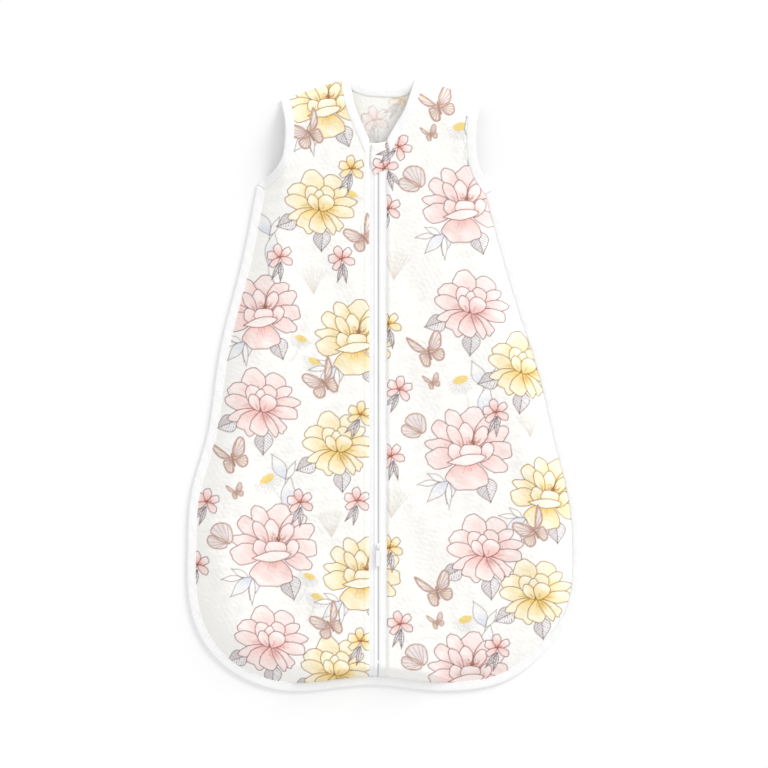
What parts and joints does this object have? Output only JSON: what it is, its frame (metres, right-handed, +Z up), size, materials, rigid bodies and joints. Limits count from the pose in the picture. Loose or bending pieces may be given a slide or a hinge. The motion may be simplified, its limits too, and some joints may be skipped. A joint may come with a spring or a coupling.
{
  "type": "baby sleeping bag",
  "caption": "Sleeveless muslin baby sleeping bag with a V neck, bound armholes and edges, a centre front zip with slider and pull tab, and a cloth garage over the top of the zip.",
  "frame": {"origin": "middle of the bag's bottom face, as it lies flat on its back", "axes": "+X to the right-hand side of the picture, +Y from the feet to the neck, +Z up out of the front"},
  "size_m": [0.4877, 0.76, 0.017],
  "materials": {
    "printed_muslin": "matte",
    "white_binding": "matte",
    "zip_tape": "matte",
    "zip_nylon": "satin",
    "slider_enamel": "gloss"
  },
  "bodies": {
    "bag": {"back_panel": "printed_muslin", "front_panel_left": "printed_muslin", "front_panel_right": "printed_muslin", "front_shoulder_left": "printed_muslin", "front_chest_left": "printed_muslin", "front_waist_left": "printed_muslin", "front_hip_left": "printed_muslin", "front_thigh_left": "printed_muslin", "front_corner_left": "printed_muslin", "front_hem_left": "printed_muslin", "front_shoulder_right": "printed_muslin", "front_chest_right": "printed_muslin", "front_waist_right": "printed_muslin", "front_hip_right": "printed_muslin", "front_thigh_right": "printed_muslin", "front_corner_right": "printed_muslin", "front_hem_right": "printed_muslin", "neck_binding_back": "white_binding", "neck_binding_front_left": "white_binding", "neck_binding_front_right": "white_binding", "armhole_binding_back_left": "white_binding", "armhole_binding_back_right": "white_binding", "armhole_binding_front_left": "white_binding", "armhole_binding_front_right": "white_binding", "side_binding_left": "white_binding", "side_binding_right": "white_binding", "corner_binding_left": "white_binding", "corner_binding_right": "white_binding", "hem_binding": "white_binding", "zip_tape_left": "zip_tape", "zip_tape_right": "zip_tape", "zip_coil_left": "zip_nylon", "zip_coil_right": "zip_nylon", "top_stop_left": "zip_nylon", "top_stop_right": "zip_nylon", "bottom_stop": "zip_nylon"},
    "slider": {"slider_body": "slider_enamel"},
    "pull": {"pull_tab": "slider_enamel"},
    "garage": {"zip_garage": "printed_muslin"}
  },
  "joints": [
    {"name": "zip_slide", "type": "slide", "parent": "bag", "child": "slider", "axis": [0, 1, 0], "range_m": [-0.134, 0.43]},
    {"name": "pull_tab_hinge", "type": "hinge", "parent": "slider", "child": "pull", "pos_m": [-0.0074, -0.2005, 0.01535], "axis": [-1, 0, 0], "range_deg": [0, 165]},
    {"name": "garage_hinge", "type": "hinge", "parent": "bag", "child": "garage", "pos_m": [0.0031, 0.282, 0.0147], "axis": [0, 1, 0], "range_deg": [0, 150]}
  ]
}
